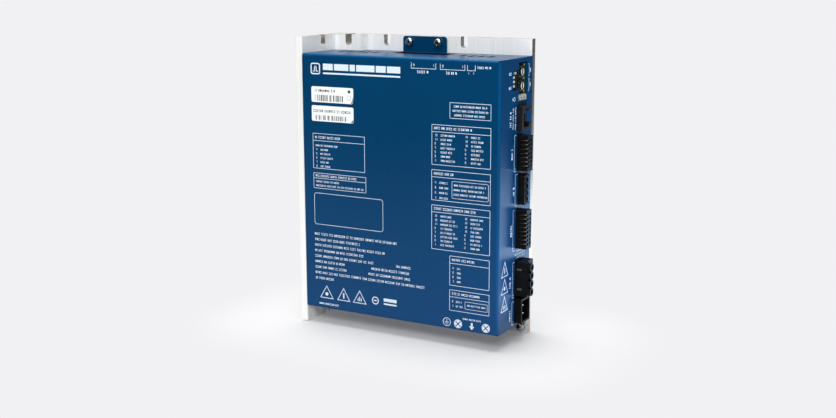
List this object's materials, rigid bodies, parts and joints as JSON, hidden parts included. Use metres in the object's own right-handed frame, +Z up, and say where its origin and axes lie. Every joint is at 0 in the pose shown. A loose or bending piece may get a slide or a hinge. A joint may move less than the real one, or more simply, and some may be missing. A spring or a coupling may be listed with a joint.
{
  "type": "servo drive",
  "caption": "Panel-mounted servo drive: blue folded cover on an L-shaped aluminium extrusion with open mounting slots, side connectors and setting switches, and network jacks on top.",
  "frame": {"origin": "middle of the whole drive's footprint, on the surface that it stands on", "axes": "+X to the right seen from the front, towards the side connectors; +Y back, towards the mounting plate; +Z up, along the extrusion"},
  "size_m": [0.151, 0.05, 0.1827],
  "materials": {
    "bare_aluminium": "mill finish, brushed along the extrusion",
    "blue_paint": "satin dark blue powder coat",
    "chromed_screws": "bright plated",
    "zinc_plated_steel": "bright zinc",
    "label_film": "white printed film",
    "circuit_board": "green solder mask with yellow-green cut edges",
    "capacitor_sleeve": "shrink sleeve with an aluminium end",
    "ferrite": "ferrite core and copper winding",
    "ceramic": "ceramic tube with plated caps",
    "silicone_pad": "matt silicone",
    "module_epoxy": "moulded epoxy",
    "switch_plastic": "moulded, fine grain",
    "dial_plastic": "cream moulded",
    "slider_plastic": "white moulded",
    "light_pipe_plastic": "smoky translucent",
    "jack_plastic": "moulded, fine grain",
    "connector_plastic": "moulded, fine grain",
    "tinned_brass": "tin plated"
  },
  "bodies": {
    "drive_body": {"board_screw_1": "zinc_plated_steel", "board_screw_2": "zinc_plated_steel", "board_screw_3": "zinc_plated_steel", "board_screw_4": "zinc_plated_steel", "bulk_capacitor_1": "capacitor_sleeve", "bulk_capacitor_2": "capacitor_sleeve", "bulk_capacitor_3": "capacitor_sleeve", "clamp_bar": "bare_aluminium", "clamp_screw_1": "zinc_plated_steel", "clamp_screw_2": "zinc_plated_steel", "cover": "blue_paint", "cover_screw_1": "chromed_screws", "cover_screw_2": "chromed_screws", "cover_screw_3": "chromed_screws", "cover_screw_4": "chromed_screws", "dip_switch": "switch_plastic", "earth_screw_1": "chromed_screws", "earth_screw_2": "chromed_screws", "earth_washer_1": "zinc_plated_steel", "earth_washer_2": "zinc_plated_steel", "encoder_header": "connector_plastic", "heatsink_frame": "bare_aluminium", "jumper_header": "jack_plastic", "label_1": "label_film", "label_2": "label_film", "light_pipe": "light_pipe_plastic", "line_fuse": "ceramic", "main_board": "circuit_board", "mains_choke": "ferrite", "motor_header": "connector_plastic", "network_jack_1": "jack_plastic", "network_jack_2": "jack_plastic", "power_module_1": "module_epoxy", "power_module_2": "module_epoxy", "rotary_switch_1": "switch_plastic", "rotary_switch_2": "switch_plastic", "safety_header": "connector_plastic", "service_jack": "jack_plastic", "signal_header": "connector_plastic", "standoff_1": "zinc_plated_steel", "standoff_2": "zinc_plated_steel", "standoff_3": "zinc_plated_steel", "standoff_4": "zinc_plated_steel", "supply_header": "connector_plastic", "supply_pin_1": "tinned_brass", "supply_pin_2": "tinned_brass", "supply_transformer": "ferrite", "switch_board": "circuit_board", "thermal_pad": "silicone_pad"},
    "rotary_dial_1": {"rotary_dial_1": "dial_plastic"},
    "rotary_dial_2": {"rotary_dial_2": "dial_plastic"},
    "dip_slider_1": {"dip_slider_1": "slider_plastic"},
    "dip_slider_2": {"dip_slider_2": "slider_plastic"},
    "dip_slider_3": {"dip_slider_3": "slider_plastic"},
    "dip_slider_4": {"dip_slider_4": "slider_plastic"},
    "signal_plug": {"signal_plug": "connector_plastic"},
    "encoder_plug": {"encoder_plug": "connector_plastic"},
    "safety_plug": {"safety_plug": "connector_plastic"},
    "motor_plug": {"motor_plug": "connector_plastic"},
    "jumper_cap": {"jumper_cap": "jack_plastic"}
  },
  "joints": [
    {"name": "rotary_dial_1_turn", "type": "hinge", "parent": "drive_body", "child": "rotary_dial_1", "pos_m": [0.06375, 0.00628, 0.1643], "axis": [1, 0, 0], "continuous": true},
    {"name": "rotary_dial_2_turn", "type": "hinge", "parent": "drive_body", "child": "rotary_dial_2", "pos_m": [0.06375, 0.00628, 0.1561], "axis": [1, 0, 0], "continuous": true},
    {"name": "dip_slider_1_slide", "type": "slide", "parent": "drive_body", "child": "dip_slider_1", "axis": [0, 1, 0], "range_m": [-0.002, 0]},
    {"name": "dip_slider_2_slide", "type": "slide", "parent": "drive_body", "child": "dip_slider_2", "axis": [0, 1, 0], "range_m": [0, 0.002]},
    {"name": "dip_slider_3_slide", "type": "slide", "parent": "drive_body", "child": "dip_slider_3", "axis": [0, 1, 0], "range_m": [0, 0.002]},
    {"name": "dip_slider_4_slide", "type": "slide", "parent": "drive_body", "child": "dip_slider_4", "axis": [0, 1, 0], "range_m": [0, 0.002]},
    {"name": "signal_plug_pull", "type": "slide", "parent": "drive_body", "child": "signal_plug", "axis": [1, 0, 0], "range_m": [0, 0.01]},
    {"name": "encoder_plug_pull", "type": "slide", "parent": "drive_body", "child": "encoder_plug", "axis": [1, 0, 0], "range_m": [0, 0.01]},
    {"name": "safety_plug_pull", "type": "slide", "parent": "drive_body", "child": "safety_plug", "axis": [1, 0, 0], "range_m": [0, 0.01]},
    {"name": "motor_plug_pull", "type": "slide", "parent": "drive_body", "child": "motor_plug", "axis": [1, 0, 0], "range_m": [0, 0.01]},
    {"name": "jumper_cap_pull", "type": "slide", "parent": "drive_body", "child": "jumper_cap", "axis": [0, 0, 1], "range_m": [0, 0.006]}
  ]
}
